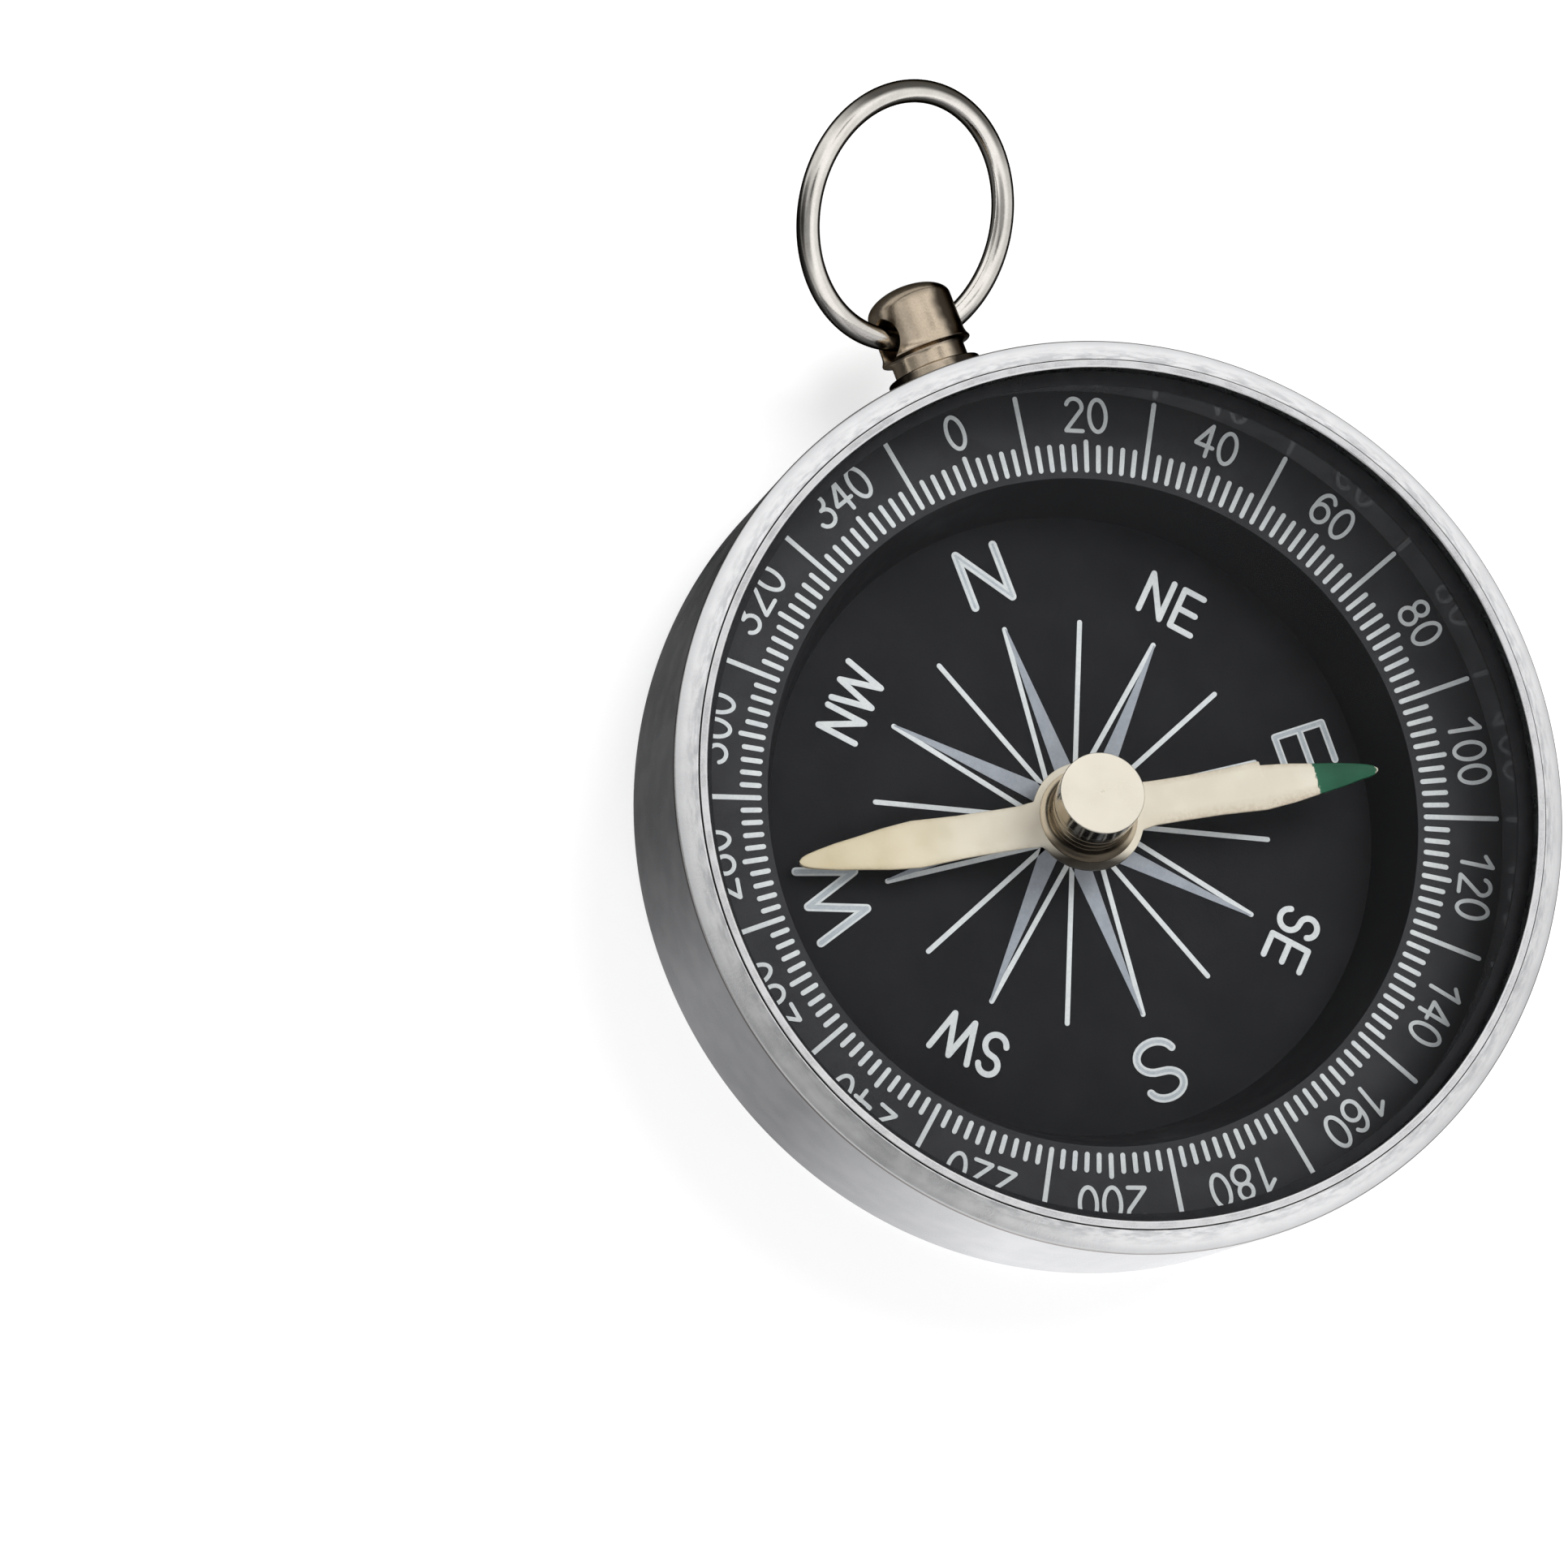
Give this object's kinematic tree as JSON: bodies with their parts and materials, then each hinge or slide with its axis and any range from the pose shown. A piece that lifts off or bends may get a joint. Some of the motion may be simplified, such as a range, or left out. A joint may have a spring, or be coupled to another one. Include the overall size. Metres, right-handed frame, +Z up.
{
  "type": "pocket compass",
  "caption": "Round pocket compass with a flat clear crystal, a sunk dial, a turning needle, a stem knob and a loose key ring.",
  "frame": {"origin": "centre of the case's flat back", "axes": "+Z up through the crystal, +Y north on the dial and out along the stem, +X east"},
  "size_m": [0.044, 0.0576, 0.0116],
  "materials": {
    "case": "satin",
    "bezel": "polished",
    "crystal": "clear",
    "gasket": "matte",
    "liner": "gloss",
    "dial_plastic": "semi-matte",
    "card": "matte",
    "ink": "matte print",
    "pivot_brass": "turned",
    "pin_steel": "polished",
    "needle_metal": "satin cream",
    "cap_metal": "turned, pale plated",
    "jewel": "polished",
    "washer_metal": "dark",
    "stem_metal": "nickel plated",
    "ring_wire": "nickel plated"
  },
  "bodies": {
    "case": {"case_shell": "case", "dial_card": "card", "rose_print": "ink", "degree_ring": "dial_plastic", "degree_marks": "ink", "liner_ring": "liner", "crystal_gasket": "gasket", "crystal": "crystal", "bezel_ring": "bezel", "pivot_foot": "pivot_brass", "pivot_pin": "pin_steel", "stem_washer": "washer_metal"},
    "needle": {"needle_blade": "needle_metal", "needle_cap": "cap_metal", "cap_collar": "pivot_brass", "jewel_cup": "jewel"},
    "knob": {"stem_knob": "stem_metal", "shank_collar": "pin_steel"},
    "ring": {"key_ring": "ring_wire"}
  },
  "joints": [
    {"name": "needle_spin", "type": "hinge", "parent": "case", "child": "needle", "pos_m": [0, 0, 0.0032], "axis": [0, 0, 1], "continuous": true},
    {"name": "knob_swivel", "type": "hinge", "parent": "case", "child": "knob", "pos_m": [0, 0.0237, 0.00498], "axis": [0, 1, 0], "continuous": true},
    {"name": "ring_swing", "type": "hinge", "parent": "knob", "child": "ring", "pos_m": [0, 0.02473, 0.00498], "axis": [0.9563, 0, -0.2924], "range_deg": [-139, 81]}
  ]
}
